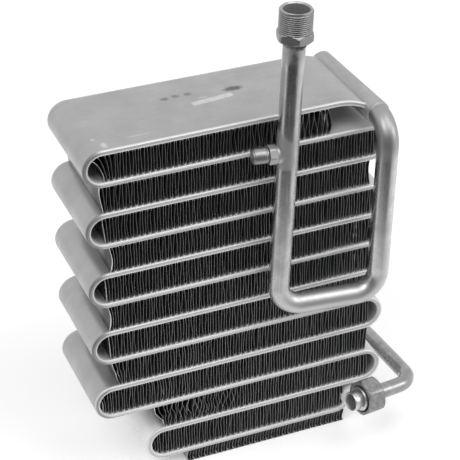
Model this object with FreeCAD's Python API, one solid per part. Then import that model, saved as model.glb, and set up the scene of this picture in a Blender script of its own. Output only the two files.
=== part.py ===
import FreeCAD, Part
import math
import os

# Serpentine evaporator core, in millimetres.
# One wide flat tube is bent back and forth, with folded fin strips between its passes.
# A round header closes each end of the tube, and a bent pipe leaves each header.
#
# While it is built, X runs along the passes from the centre line of the left bends,
# Y runs from the front edge of the flat tube into its depth, and +Z is up from the
# underside of the lowest fin strip. The finished part is then moved so that its origin
# is the middle of its bounding box in X and Y, at the lowest point.

Vector = FreeCAD.Vector

# Flat tube
pass_count = 12
pass_pitch = 25.4
tube_thickness = 4.0
tube_depth = 80.8
tube_edge_break = 1.1
bend_span = 206.8
last_bend_inset = 39.9

# Fin strips
fin_wall_spacing = 2.25
fin_stock = 0.15
fin_setback = 1.5
lowest_strip_height = 10.5

# Ends of the flat tube, where it curves into the headers. Each curve starts a set
# distance before the centre line of the right bends.
outlet_curve_setback = 28.8
outlet_curve_radius = 45.0
outlet_curve_angle = 31.0
inlet_curve_setback = 22.8
inlet_curve_radius = 12.7
inlet_curve_angle = 50.0
header_slot_depth = 1.5

# Headers
outlet_header_od = 18.0
inlet_header_od = 18.0
header_wall = 0.95
header_overhang = 4.8
header_plug_thickness = 3.0
plug_edge_break = 0.6
braze_gap = 0.05

# Outlet pipe: forward out of its header, down, across to the left, and up to the fitting
outlet_pipe_od = 16.0
outlet_pipe_wall = 1.25
outlet_bend_radius = 18.5
outlet_pipe_seat = 8.0
outlet_down_run_front = 23.5
outlet_riser_front = 14.3
outlet_loop_drop = 142.0
outlet_loop_width = 77.0
outlet_riser_height = 243.6
outlet_down_lean = 1.86
outlet_riser_lean = 2.72

# Outlet fitting, turned from hexagon bar
outlet_thread_diameter = 24.0
outlet_thread_length = 16.5
outlet_thread_lead = 1.2
outlet_hex_flats = 24.0
outlet_hex_height = 7.0
outlet_hex_turn = 47.0
outlet_hex_corner_diameter = 27.2
outlet_neck_diameter = 18.8
outlet_neck_height = 2.4
outlet_seat_diameter = 18.4
outlet_seat_depth = 11.5
outlet_seat_chamfer = 0.9
outlet_socket_depth = 9.0

# Service port on the riser, with a neck that is shaped to the pipe
port_height = 131.0
port_neck_diameter = 12.4
port_hex_start = 8.5
port_hex_flats = 13.0
port_reach = 14.1
port_bore_diameter = 5.2
port_pipe_hole_diameter = 4.0
port_stem_diameter = 8.6
port_stem_length = 8.2
port_cap_diameter = 12.0
port_cap_length = 11.6
port_cap_bore_clearance = 0.1
port_cap_edge_break = 1.1
port_cap_face_gap = 0.4
valve_core_diameter = 4.9
valve_core_length = 11.0
valve_pin_diameter = 1.6
valve_pin_length = 1.5

# Inlet pipe: out of the flank of its header, forward beside the core, and to the left
inlet_pipe_od = 12.0
inlet_pipe_wall = 1.1
inlet_bend_radius = 18.5
inlet_entry_from_back = 8.8
inlet_entry_sink = 0.9
inlet_run_offset = 10.5
inlet_run_rear_rise = 11.4
inlet_run_front_rise = 22.1
inlet_front_reach = 25.0
inlet_end_length = 61.1
inlet_end_forward_angle = 11.5
inlet_end_rise_angle = 5.0

# Turned sleeve on the end of the inlet pipe
pilot_diameter = 15.0
pilot_bore_diameter = 11.8
pilot_length = 5.9
pilot_bore_depth = 11.4
pilot_edge_break = 0.5
seal_groove_diameter = 12.8
seal_groove_width = 1.9
bead_diameter = 19.0
bead_width = 2.4
sleeve_tail_diameter = 14.6
sleeve_tail_length = 10.0
sleeve_socket_depth = 5.5

# Union nut, held on the pipe by the sleeve
nut_flats = 26.0
nut_corner_diameter = 29.0
nut_length = 14.8
nut_end_chamfer = 2.2
nut_thread_diameter = 20.4
nut_shoulder_thickness = 3.0
nut_tail_clearance = 0.3
nut_set_back = 9.3
nut_turn = 45.0

tube_bend_radius = pass_pitch / 2
tube_half = tube_thickness / 2
bend_inner_radius = tube_bend_radius - tube_half
bend_outer_radius = tube_bend_radius + tube_half
outlet_curve_start = bend_span - outlet_curve_setback
inlet_curve_start = bend_span - inlet_curve_setback
inlet_entry_depth = tube_depth - inlet_entry_from_back


def pass_height(number):
    """Height of the middle of a pass, counted from 1 at the top."""
    return lowest_strip_height + tube_half + (pass_count - number) * pass_pitch


def left_bend_centre(upper_pass):
    """X of the centre of the left bend under the given pass."""
    if upper_pass == pass_count - 1:
        return last_bend_inset
    return 0.0


def tube_section(x, z):
    """Cross-section of the flat tube, square to X, with its four long edges broken."""
    edge = tube_edge_break
    corners = [
        (edge, -tube_half), (tube_depth - edge, -tube_half),
        (tube_depth, edge - tube_half), (tube_depth, tube_half - edge),
        (tube_depth - edge, tube_half), (edge, tube_half),
        (0, tube_half - edge), (0, edge - tube_half),
    ]
    points = [Vector(x, y, z + up) for y, up in corners]
    return Part.Face(Part.makePolygon(points + points[:1]))


def curve_end(start_x, height, radius, angle, turn):
    """End point and heading of a tube end that curves up (turn 1) or down (turn -1)."""
    swing = math.radians(angle)
    x = start_x + radius * math.sin(swing)
    z = height + turn * radius * (1 - math.cos(swing))
    heading = Vector(math.cos(swing), 0, turn * math.sin(swing))
    return Vector(x, 0, z), heading


def header_axis(end, heading, header_od):
    """Point on a header's axis, level with the front edge of the tube."""
    return end + heading * (header_od / 2 - header_slot_depth)


def curved_tube_end(start_x, height, radius, angle, turn):
    """The stretch of flat tube that curves into a header."""
    centre = Vector(start_x, 0, height + turn * radius)
    section = tube_section(start_x, height)
    return section.revolve(centre, Vector(0, -turn, 0), angle)


outlet_end, outlet_heading = curve_end(
    outlet_curve_start, pass_height(1), outlet_curve_radius, outlet_curve_angle, -1)
inlet_end, inlet_heading = curve_end(
    inlet_curve_start, pass_height(pass_count), inlet_curve_radius, inlet_curve_angle, 1)
outlet_header_axis = header_axis(outlet_end, outlet_heading, outlet_header_od)
inlet_header_axis = header_axis(inlet_end, inlet_heading, inlet_header_od)


def serpentine_tube():
    """The whole flat tube: twelve straight passes, eleven bends and two curved ends."""
    stretches = []
    for number in range(1, pass_count + 1):
        height = pass_height(number)
        bend_above_left = left_bend_centre(number - 1 if number % 2 == 0 else number)
        right_end = bend_span
        if number == 1:
            right_end = outlet_curve_start
        if number == pass_count:
            right_end = inlet_curve_start
        run = Vector(right_end - bend_above_left, 0, 0)
        stretches.append(tube_section(bend_above_left, height).extrude(run))
        if number < pass_count:
            middle = height - tube_bend_radius
            if number % 2 == 1:
                centre = Vector(bend_above_left, 0, middle)
                axis = Vector(0, -1, 0)
            else:
                centre = Vector(bend_span, 0, middle)
                axis = Vector(0, 1, 0)
            section = tube_section(centre.x, height)
            stretches.append(section.revolve(centre, axis, 180))
    stretches.append(curved_tube_end(
        outlet_curve_start, pass_height(1), outlet_curve_radius, outlet_curve_angle, -1))
    stretches.append(curved_tube_end(
        inlet_curve_start, pass_height(pass_count), inlet_curve_radius, inlet_curve_angle, 1))
    return stretches[0].multiFuse(stretches[1:])


def bend_half_height(x, centre_x, side):
    """Half of the gap inside a bend at x; side is -1 for a left bend, 1 for a right one."""
    past = max(0.0, side * (x - centre_x))
    return math.sqrt(max(0.0, bend_inner_radius ** 2 - past ** 2))


def fin_strip(x_start, x_end, floor, ceiling):
    """A folded fin strip between two surfaces, given as heights that depend on x."""
    folds = max(2, round((x_end - x_start) / fin_wall_spacing))
    step = (x_end - x_start) / folds
    tallest = max(ceiling(x) - floor(x) for x in (x_start, (x_start + x_end) / 2, x_end))
    crest = fin_stock * math.hypot(tallest, step) / step
    upper = []
    lower = []
    for fold in range(folds + 1):
        x = x_start + fold * step
        if fold % 2 == 0:
            lower.append((x, floor(x)))
            upper.append((x, floor(x) + crest))
        else:
            lower.append((x, ceiling(x) - crest))
            upper.append((x, ceiling(x)))
    outline = [Vector(x, fin_setback, z) for x, z in upper + lower[::-1]]
    sheet = Part.Face(Part.makePolygon(outline + outline[:1]))
    return sheet.extrude(Vector(0, tube_depth - 2 * fin_setback, 0))


# Left and right ends of each strip, from the top down, as they were cut and fitted by
# hand. They are measured to the right from the centre line of the bends on that side. For
# the last three strips that is the last left bend, which is set in.
fin_left_offsets = [0.1, -1.4, -0.6, 2.8, -1.3, -0.1, -0.4, 2.5, -8.8, -3.1, -10.3, 18.2]
fin_right_offsets = [-32.3, 1.4, 0.1, 0.8, 3.2, 1.2, 1.7, 2.8, 1.2, 3.1, -17.2, -15.9]


def fin_ends(number):
    """X of the left and the right end of a strip."""
    left_line = last_bend_inset if number >= pass_count - 2 else 0.0
    return left_line + fin_left_offsets[number - 1], bend_span + fin_right_offsets[number - 1]


def fin_strips():
    """All the fin strips: eleven between the passes and a low one under the last pass."""
    strips = []
    for number in range(1, pass_count):
        middle = pass_height(number) - tube_bend_radius
        if number % 2 == 1:
            centre_x = left_bend_centre(number)
            side = -1
        else:
            centre_x = bend_span
            side = 1

        def ceiling(x, middle=middle, centre_x=centre_x, side=side):
            return middle + bend_half_height(x, centre_x, side)

        def floor(x, middle=middle, centre_x=centre_x, side=side):
            return middle - bend_half_height(x, centre_x, side)

        left, right = fin_ends(number)
        strips.append(fin_strip(left, right, floor, ceiling))
    left, right = fin_ends(pass_count)
    strips.append(fin_strip(left, right, lambda x: 0.0, lambda x: lowest_strip_height))
    return strips


def rod_along(points, bend_radius, rod_radius):
    """A solid round rod along straight runs, with a circular bend at each inner point."""
    pieces = []
    start = points[0]
    for index in range(1, len(points)):
        corner = points[index]
        inward = (corner - start).normalize()
        if index == len(points) - 1:
            pieces.append(Part.makeCylinder(rod_radius, (corner - start).Length, start, inward))
            break
        outward = (points[index + 1] - corner).normalize()
        turn = inward.getAngle(outward)
        back = bend_radius * math.tan(turn / 2)
        bend_start = corner - inward * back
        bend_axis = inward.cross(outward).normalize()
        centre = bend_start + bend_axis.cross(inward) * bend_radius
        pieces.append(Part.makeCylinder(rod_radius, (bend_start - start).Length, start, inward))
        disc = Part.Face(Part.Wire(Part.makeCircle(rod_radius, bend_start, inward)))
        pieces.append(disc.revolve(centre, bend_axis, math.degrees(turn)))
        start = corner + outward * back
    return pieces[0].multiFuse(pieces[1:])


def pipe_along(points, bend_radius, diameter, wall):
    """A bent pipe: one rod along the route, bored out by a thinner one."""
    outer = rod_along(points, bend_radius, diameter / 2)
    inner = rod_along(points, bend_radius, diameter / 2 - wall)
    return outer.cut(inner)


def turned(profile, base, axis):
    """A solid turned from a closed profile of (radius, height) points about an axis."""
    points = [Vector(radius, 0, height) for radius, height in profile]
    face = Part.Face(Part.makePolygon(points + points[:1]))
    solid = face.revolve(Vector(0, 0, 0), Vector(0, 0, 1), 360)
    return stood(solid, base, axis)


def hexagon_bar(flats, height, base, axis, turn):
    """A hexagonal prism across the given flats, turned about its axis by an angle."""
    corner = flats / math.sqrt(3)
    angles = [math.radians(turn + 60 * index) for index in range(7)]
    points = [Vector(corner * math.cos(a), corner * math.sin(a), 0) for a in angles]
    prism = Part.Face(Part.makePolygon(points)).extrude(Vector(0, 0, height))
    return stood(prism, base, axis)


def stood(solid, base, axis):
    """Move a solid that was made about +Z at the origin onto a base point and axis."""
    solid.Placement = FreeCAD.Placement(base, FreeCAD.Rotation(Vector(0, 0, 1), axis))
    return solid


tube = serpentine_tube()
header_length = tube_depth + 2 * header_overhang
depth_axis = Vector(0, 1, 0)


def header_tube(axis_point, diameter):
    """A header: a round tube along the depth, slotted where the flat tube enters it."""
    front = axis_point - depth_axis * header_overhang
    outer = Part.makeCylinder(diameter / 2, header_length, front, depth_axis)
    bore = Part.makeCylinder(diameter / 2 - header_wall, header_length, front, depth_axis)
    return outer.cut(bore).cut(tube)


def header_plug(axis_point, diameter, at_back):
    """The plug that closes a header: a thick disc with its outer edge broken."""
    radius = diameter / 2 - header_wall - braze_gap
    inner = radius - plug_edge_break
    profile = [(0, 0), (radius, 0), (radius, header_plug_thickness - plug_edge_break),
               (inner, header_plug_thickness), (0, header_plug_thickness)]
    if at_back:
        end = axis_point + depth_axis * (tube_depth + header_overhang)
        return turned(profile, end - depth_axis * header_plug_thickness, depth_axis)
    end = axis_point - depth_axis * header_overhang
    return turned(profile, end + depth_axis * header_plug_thickness, depth_axis * -1)


outlet_header = header_tube(outlet_header_axis, outlet_header_od)
outlet_header_plug = header_plug(outlet_header_axis, outlet_header_od, True)
inlet_header = header_tube(inlet_header_axis, inlet_header_od)
inlet_header_plug = header_plug(inlet_header_axis, inlet_header_od, False)
inlet_header_rear_plug = header_plug(inlet_header_axis, inlet_header_od, True)

# Route of the outlet pipe
down_lean = math.tan(math.radians(outlet_down_lean))
riser_lean = math.tan(math.radians(outlet_riser_lean))
outlet_start = outlet_header_axis + depth_axis * (outlet_pipe_seat - header_overhang)
down_top = Vector(outlet_header_axis.x, -outlet_down_run_front, outlet_header_axis.z)
down_foot = down_top + Vector(-outlet_loop_drop * down_lean, 0, -outlet_loop_drop)
riser_foot = down_foot + Vector(
    -outlet_loop_width, outlet_down_run_front - outlet_riser_front, 0)
riser_axis = Vector(riser_lean, 0, 1).normalize()
riser_top = riser_foot + riser_axis * outlet_riser_height
fitting_height = (outlet_thread_length + outlet_hex_height + outlet_neck_height)
fitting_base = riser_top - riser_axis * fitting_height
outlet_pipe_end = fitting_base + riser_axis * (outlet_socket_depth - braze_gap)
outlet_route = [outlet_start, down_top, down_foot, riser_foot, outlet_pipe_end]
outlet_pipe = pipe_along(outlet_route, outlet_bend_radius, outlet_pipe_od, outlet_pipe_wall)


def outlet_fitting():
    """Male union fitting: neck, hexagon and thread stub, with a socket and a seat bore."""
    thread = outlet_thread_diameter / 2
    hex_top = outlet_neck_height + outlet_hex_height
    body = turned(
        [(0, 0), (outlet_neck_diameter / 2, 0), (outlet_neck_diameter / 2, hex_top),
         (thread, hex_top), (thread, fitting_height - outlet_thread_lead),
         (thread - outlet_thread_lead, fitting_height), (0, fitting_height)],
        fitting_base, riser_axis)
    hexagon = hexagon_bar(
        outlet_hex_flats, outlet_hex_height, fitting_base + riser_axis * outlet_neck_height,
        riser_axis, outlet_hex_turn)
    corner = outlet_hex_corner_diameter / 2
    rim = outlet_hex_flats / 2
    slope = corner - rim
    crown = turned(
        [(0, 0), (rim, 0), (corner, slope), (corner, outlet_hex_height - slope),
         (rim, outlet_hex_height), (0, outlet_hex_height)],
        fitting_base + riser_axis * outlet_neck_height, riser_axis)
    seat = outlet_seat_diameter / 2
    seat_floor = fitting_height - outlet_seat_depth
    way = outlet_pipe_od / 2 - outlet_pipe_wall
    socket = outlet_pipe_od / 2 + braze_gap
    hollow = turned(
        [(0, 0), (socket, 0), (socket, outlet_socket_depth), (way, outlet_socket_depth),
         (way, seat_floor), (seat, seat_floor), (seat, fitting_height - outlet_seat_chamfer),
         (seat + outlet_seat_chamfer, fitting_height), (0, fitting_height)],
        fitting_base, riser_axis)
    return body.fuse(hexagon.common(crown)).cut(hollow)


# Service port, square to the riser and in line with the pipe's loop
port_centre = riser_foot + riser_axis * port_height
loop_line = (riser_foot - down_foot).normalize()
port_axis = (loop_line - riser_axis * loop_line.dot(riser_axis)).normalize()
riser_bore = outlet_pipe_od / 2 - outlet_pipe_wall
port_tip = port_reach + port_stem_length


def service_port():
    """A neck shaped to the riser, a hexagon, and a bored stem for the cap."""
    seat = outlet_pipe_od / 2 + braze_gap
    neck = Part.makeCylinder(port_neck_diameter / 2, port_reach, port_centre, port_axis)
    hexagon = hexagon_bar(
        port_hex_flats, port_reach - port_hex_start, port_centre + port_axis * port_hex_start,
        port_axis, 0)
    stem = Part.makeCylinder(port_stem_diameter / 2, port_tip, port_centre, port_axis)
    pipe_room = Part.makeCylinder(
        seat, 2 * port_hex_flats, port_centre - riser_axis * port_hex_flats, riser_axis)
    bore = Part.makeCylinder(port_bore_diameter / 2, port_tip, port_centre, port_axis)
    return neck.multiFuse([hexagon, stem]).cut(pipe_room).cut(bore)


def service_valve_core():
    """Valve core: a round body with the thin pin that opens it."""
    body = valve_core_diameter / 2
    pin = valve_pin_diameter / 2
    base = port_centre + port_axis * (port_tip - valve_core_length)
    return turned(
        [(0, 0), (body, 0), (body, valve_core_length - valve_pin_length),
         (pin, valve_core_length - valve_pin_length), (pin, valve_core_length),
         (0, valve_core_length)],
        base, port_axis)


def service_cap():
    """Round screw cap over the stem of the port, with a broken outer edge."""
    outer = port_cap_diameter / 2
    inner = port_stem_diameter / 2 + port_cap_bore_clearance
    edge = port_cap_edge_break
    hollow_end = port_stem_length - port_cap_face_gap + port_cap_bore_clearance
    base = port_centre + port_axis * (port_reach + port_cap_face_gap)
    return turned(
        [(inner, 0), (outer, 0), (outer, port_cap_length - edge),
         (outer - edge, port_cap_length), (0, port_cap_length), (0, hollow_end),
         (inner, hollow_end)],
        base, port_axis)


port_hole = Part.makeCylinder(
    port_pipe_hole_diameter / 2, outlet_pipe_od, port_centre, port_axis)
outlet_pipe = outlet_pipe.cut(port_hole)

# Route of the inlet pipe
run_x = bend_span + bend_outer_radius + inlet_run_offset + inlet_pipe_od / 2
inlet_rear = Vector(run_x, inlet_entry_depth, inlet_header_axis.z + inlet_run_rear_rise)
inlet_front = Vector(run_x, -inlet_front_reach, inlet_header_axis.z + inlet_run_front_rise)
entry_axis_point = Vector(inlet_header_axis.x, inlet_entry_depth, inlet_header_axis.z)
entry_heading = (inlet_rear - entry_axis_point).normalize()
inlet_start = entry_axis_point + entry_heading * (inlet_header_od / 2 - inlet_entry_sink)
forward = math.radians(inlet_end_forward_angle)
rise = math.radians(inlet_end_rise_angle)
end_heading = Vector(
    -math.cos(forward) * math.cos(rise), -math.sin(forward) * math.cos(rise), math.sin(rise))
sleeve_length = pilot_length + seal_groove_width + bead_width + sleeve_tail_length
pilot_mouth = inlet_front + end_heading * inlet_end_length
sleeve_base = pilot_mouth - end_heading * sleeve_length
inlet_pipe_end = sleeve_base + end_heading * (sleeve_socket_depth - braze_gap)
inlet_route = [inlet_start, inlet_rear, inlet_front, inlet_pipe_end]
inlet_pipe = pipe_along(inlet_route, inlet_bend_radius, inlet_pipe_od, inlet_pipe_wall)
entry_hole = Part.makeCylinder(
    inlet_pipe_od / 2 + braze_gap, inlet_header_od, entry_axis_point, entry_heading)
inlet_header = inlet_header.cut(entry_hole)
header_bore = Part.makeCylinder(
    inlet_header_od / 2 - header_wall, header_length,
    inlet_header_axis - depth_axis * header_overhang, depth_axis)
inlet_pipe = inlet_pipe.cut(header_bore)


def inlet_sleeve():
    """Turned end of the inlet pipe: a tail, a bead that stops the nut, a groove, a pilot."""
    tail = sleeve_tail_diameter / 2
    bead = bead_diameter / 2
    pilot = pilot_diameter / 2
    groove = seal_groove_diameter / 2
    bead_top = sleeve_tail_length + bead_width
    groove_top = bead_top + seal_groove_width
    edge = pilot_edge_break
    body = turned(
        [(0, 0), (tail, 0), (tail, sleeve_tail_length), (bead - edge, sleeve_tail_length),
         (bead, sleeve_tail_length + edge), (bead, bead_top - edge), (bead - edge, bead_top),
         (groove, bead_top), (groove, groove_top), (pilot, groove_top),
         (pilot, sleeve_length - edge), (pilot - edge, sleeve_length), (0, sleeve_length)],
        sleeve_base, end_heading)
    socket = inlet_pipe_od / 2 + braze_gap
    way = inlet_pipe_od / 2 - inlet_pipe_wall
    bore = pilot_bore_diameter / 2
    bore_floor = sleeve_length - pilot_bore_depth
    hollow = turned(
        [(0, 0), (socket, 0), (socket, sleeve_socket_depth), (way, sleeve_socket_depth),
         (way, bore_floor), (bore, bore_floor), (bore, sleeve_length), (0, sleeve_length)],
        sleeve_base, end_heading)
    return body.cut(hollow)


def inlet_nut():
    """Union nut: hexagon with rounded-off corners and a hollow that slides over the tail."""
    base = pilot_mouth - end_heading * (nut_set_back + nut_length)
    hexagon = hexagon_bar(nut_flats, nut_length, base, end_heading, nut_turn)
    corner = nut_corner_diameter / 2
    rim = corner - nut_end_chamfer
    crown = turned(
        [(0, 0), (rim, 0), (corner, nut_end_chamfer), (corner, nut_length - nut_end_chamfer),
         (rim, nut_length), (0, nut_length)],
        base, end_heading)
    thread = nut_thread_diameter / 2
    hole = sleeve_tail_diameter / 2 + nut_tail_clearance
    hollow = turned(
        [(0, 0), (hole, 0), (hole, nut_shoulder_thickness), (thread, nut_shoulder_thickness),
         (thread, nut_length), (0, nut_length)],
        base, end_heading)
    return hexagon.common(crown).cut(hollow)


nodes = {
    "serpentine_tube": tube,
    "outlet_header": outlet_header,
    "outlet_header_plug": outlet_header_plug,
    "inlet_header": inlet_header,
    "inlet_header_plug": inlet_header_plug,
    "inlet_header_rear_plug": inlet_header_rear_plug,
    "outlet_pipe": outlet_pipe,
    "outlet_fitting": outlet_fitting(),
    "service_port": service_port(),
    "service_valve_core": service_valve_core(),
    "service_cap": service_cap(),
    "inlet_pipe": inlet_pipe,
    "inlet_sleeve": inlet_sleeve(),
    "inlet_nut": inlet_nut(),
}
for number, strip in enumerate(fin_strips(), start=1):
    nodes["fin_strip_%02d" % number] = strip

# Move everything so that the origin is the middle of the base
box = Part.makeCompound(list(nodes.values())).optimalBoundingBox(False)
to_origin = Vector(-box.Center.x, -box.Center.y, -box.ZMin)

os.makedirs("parts", exist_ok=True)
for name, shape in nodes.items():
    shape.translate(to_origin)
    shape.exportStep("parts/" + name + ".step")


def report(label, point):
    """Print a named point of the finished part, for the drawing."""
    moved = point + to_origin
    print(label, round(moved.x, 3), round(moved.y, 3), round(moved.z, 3))


report("outlet mouth", riser_top)
report("outlet seat floor", riser_top - riser_axis * outlet_seat_depth)
report("inlet pilot mouth", pilot_mouth)
report("inlet pipe corner", inlet_front)
report("service port centre", port_centre)
report("core origin", Vector(0, 0, 0))
report("top face centre", Vector(outlet_curve_start / 2, tube_depth / 2, pass_height(1) + tube_half))
for label, axis in (("riser axis", riser_axis), ("end heading", end_heading), ("port axis", port_axis)):
    print(label, round(axis.x, 5), round(axis.y, 5), round(axis.z, 5))
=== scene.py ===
import math

import bmesh
import bpy
import numpy as np
from mathutils import Matrix, Vector


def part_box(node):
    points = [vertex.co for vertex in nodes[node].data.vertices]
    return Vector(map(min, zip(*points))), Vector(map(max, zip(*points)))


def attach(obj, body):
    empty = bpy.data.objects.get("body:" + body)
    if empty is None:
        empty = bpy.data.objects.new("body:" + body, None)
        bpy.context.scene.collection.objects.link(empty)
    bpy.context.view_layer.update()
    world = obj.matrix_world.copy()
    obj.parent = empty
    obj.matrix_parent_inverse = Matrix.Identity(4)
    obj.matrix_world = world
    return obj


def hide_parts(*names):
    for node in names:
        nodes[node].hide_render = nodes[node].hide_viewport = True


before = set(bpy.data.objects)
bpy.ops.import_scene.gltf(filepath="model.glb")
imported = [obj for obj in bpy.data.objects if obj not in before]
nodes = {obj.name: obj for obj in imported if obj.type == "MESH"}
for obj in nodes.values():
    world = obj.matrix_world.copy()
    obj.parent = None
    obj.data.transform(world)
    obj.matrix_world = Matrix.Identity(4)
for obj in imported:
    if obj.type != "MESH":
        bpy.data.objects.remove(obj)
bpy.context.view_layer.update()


# Camera, studio and floor.
# The camera stands above and to the left of the core's front, with a long lens. The studio
# is a white room with a white floor, soft lamps, and a dark card on the camera's side.

camera_place = Vector((-0.44763, -1.06251, 0.93944))
camera_turn = 0.3882
camera_drop = 0.576
camera_roll = -0.0045
focal_length_px = 1857.5
picture_width_px = 460
sensor_width_mm = 36.0
farthest_seen = 20
lamp_aim = Vector((0, 0, 0.2))
white = (1, 1, 1, 1)
room_diffuse = 0.62
card_near = 0.15
card_radius = 2.5
card_lift = 0.0004
card_half_fan = 88
card_turn = 0.40
card_dark = 0.06
card_spread = (0.34, 0.80)
card_start = (0.30, 0.43)
card_top = (2.1, 1.1)
floor_reach = 6.0
floor_gap = 0.0002
floor_colour = (0.94, 0.94, 0.94, 1)
floor_glow = 0.22
scene = bpy.context.scene


def new_object(name, data):
    """A new object with this data, linked to the scene at the origin."""
    made = bpy.data.objects.new(name, data)
    scene.collection.objects.link(made)
    return made


def soft_lamp(name, place, size, power):
    """A square soft lamp at a place, turned to the core, in metres and watts."""
    lamp = bpy.data.lights.new(name, "AREA")
    lamp.shape = "SQUARE"
    lamp.size = size
    lamp.energy = power
    holder = new_object(name, lamp)
    holder.location = place
    holder.rotation_euler = (lamp_aim - Vector(place)).to_track_quat("-Z", "Y").to_euler()


def set_inputs(node, values):
    """Give each named input of a node its value, or link the output given for it."""
    for name, value in values.items():
        if isinstance(value, bpy.types.NodeSocket):
            node.id_data.links.new(value, node.inputs[name])
        else:
            node.inputs[name].default_value = value


def add(tree, kind, values=None, **settings):
    """A new shader node with its settings and inputs. Gives its first output in use."""
    node = tree.nodes.new("ShaderNode" + kind)
    for name, value in settings.items():
        setattr(node, name, value)
    set_inputs(node, values or {})
    return next((output for output in node.outputs if output.enabled), None)


def maths(tree, operation, *values, kind="Math"):
    """The output of a maths node on numbers and outputs; kind is VectorMath for vectors."""
    return add(tree, kind, dict(enumerate(values)), operation=operation)


def product(tree, *factors):
    """Outputs and numbers multiplied into one output."""
    result = factors[0]
    for factor in factors[1:]:
        result = maths(tree, "MULTIPLY", result, factor)
    return result


def ramp(tree, value, start, stop, bend="SMOOTHSTEP"):
    """0 where an output is at start and 1 where it is at stop: an S curve, or LINEAR."""
    return add(tree, "MapRange", {"Value": value, "From Min": start, "From Max": stop},
               interpolation_type=bend)


def new_paint(name):
    """A new node material, with its tree and its shader."""
    paint = bpy.data.materials.new(name)
    paint.use_nodes = True
    return paint, paint.node_tree, paint.node_tree.nodes["Principled BSDF"]


def dark_card():
    """The studio's dark card: a flat apron on the floor that turns up into a part dome.

    It fans out round the core, half a turn wide and centred on the camera's side. Only
    reflections show it, and it fades out to white towards its edges and towards the core.
    """
    climb = np.radians(np.linspace(5, 80, 12))
    distance = np.append(np.linspace(card_near, card_radius, 12), card_radius * np.cos(climb))
    height = np.append(np.full(12, card_lift), card_radius * np.sin(climb))[:, None]
    fan = np.radians(np.linspace(-card_half_fan, card_half_fan, 33))
    way = (-math.pi / 2 - camera_turn + fan)[None, :]
    points = np.stack([distance[:, None] * np.cos(way), distance[:, None] * np.sin(way),
                       height + 0 * way], 2)
    index = np.arange(points[..., 0].size).reshape(points.shape[:2])
    quads = np.stack([index[:-1, :-1], index[:-1, 1:], index[1:, 1:], index[1:, :-1]], 2)
    mesh = bpy.data.meshes.new("dark_card")
    mesh.from_pydata(points.reshape(-1, 3).tolist(), [], quads.reshape(-1, 4).tolist())
    card = new_object("dark_card", mesh)
    for kind in ("camera", "diffuse", "transmission", "volume_scatter", "shadow"):
        setattr(card, "visible_" + kind, False)
    paint, tree, _ = new_paint("dark_card_cloth")
    tree.nodes.clear()
    place = add(tree, "TexCoord").node.outputs["Object"]
    flat = maths(tree, "MULTIPLY", place, (1, 1, 0), kind="VectorMath")
    way = maths(tree, "NORMALIZE", flat, kind="VectorMath")
    front = (-math.sin(card_turn), -math.cos(card_turn), 0)
    facing = maths(tree, "DOT_PRODUCT", way, front, kind="VectorMath")
    distance = maths(tree, "LENGTH", flat, kind="VectorMath")
    height = add(tree, "SeparateXYZ", {"Vector": place}).node.outputs["Z"]
    shade = product(tree, ramp(tree, facing, *card_spread), ramp(tree, distance, *card_start),
                    ramp(tree, height, *card_top))
    level = add(tree, "MapRange", {"Value": shade, "To Min": 1.0, "To Max": card_dark})
    add(tree, "OutputMaterial", {"Surface": add(tree, "Emission", {"Strength": level})})
    card.data.materials.append(paint)


camera = new_object("camera", bpy.data.cameras.new("camera"))
camera.data.lens = focal_length_px / picture_width_px * sensor_width_mm
camera.data.sensor_width = sensor_width_mm
camera.data.sensor_fit = "HORIZONTAL"
camera.data.clip_end = farthest_seen
camera.matrix_world = (
    Matrix.Translation(camera_place)
    @ Matrix.Rotation(-camera_turn, 4, "Z")
    @ Matrix.Rotation(math.pi / 2 - camera_drop, 4, "X")
    @ Matrix.Rotation(camera_roll, 4, "Z")
)
scene.camera = camera
scene.view_settings.view_transform = "Standard"

soft_lamp("key_lamp", (-0.9, -0.7, 1.6), 0.9, 10)
soft_lamp("top_lamp", (0.48, -0.62, 1.42), 0.85, 5)
soft_lamp("side_lamp", (1.5, -0.9, 0.9), 0.7, 6)

# The room: plain white to the camera and in reflections, and a little less as soft light.
room = bpy.data.worlds.new("studio_room")
scene.world = room
room.use_nodes = True
tree = room.node_tree
tree.nodes.clear()
ray = add(tree, "LightPath").node.outputs
seen = maths(tree, "ADD", ray["Is Camera Ray"], ray["Is Glossy Ray"])
seen = add(tree, "Math", {0: seen, 1: ray["Is Transmission Ray"]}, operation="ADD",
           use_clamp=True)
lit_room = add(tree, "Background", {"Color": white, "Strength": room_diffuse})
seen_room = add(tree, "Background", {"Color": white})
add(tree, "OutputWorld",
    {"Surface": add(tree, "MixShader", {"Fac": seen, 1: lit_room, 2: seen_room})})

dark_card()

floor_mesh = bpy.data.meshes.new("floor")
floor_mesh.from_pydata([(x * floor_reach, y * floor_reach, -floor_gap) for x, y in
                        ((-1, -1), (1, -1), (1, 1), (-1, 1))], [], [(0, 1, 2, 3)])
floor = new_object("floor", floor_mesh)
floor_paint, _, floor_shader = new_paint("floor_paint")
set_inputs(floor_shader, {
    "Base Color": floor_colour, "Roughness": 0.9, "Specular IOR Level": 0.0,
    "Emission Color": white, "Emission Strength": floor_glow})
floor.data.materials.append(floor_paint)


# Flat tube.
# One extruded aluminium tube, 4 mm thick and 81 mm deep, bent back and forth into twelve
# passes. Its long edges are rounded, and its upper end droops to meet the outlet header.

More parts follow.
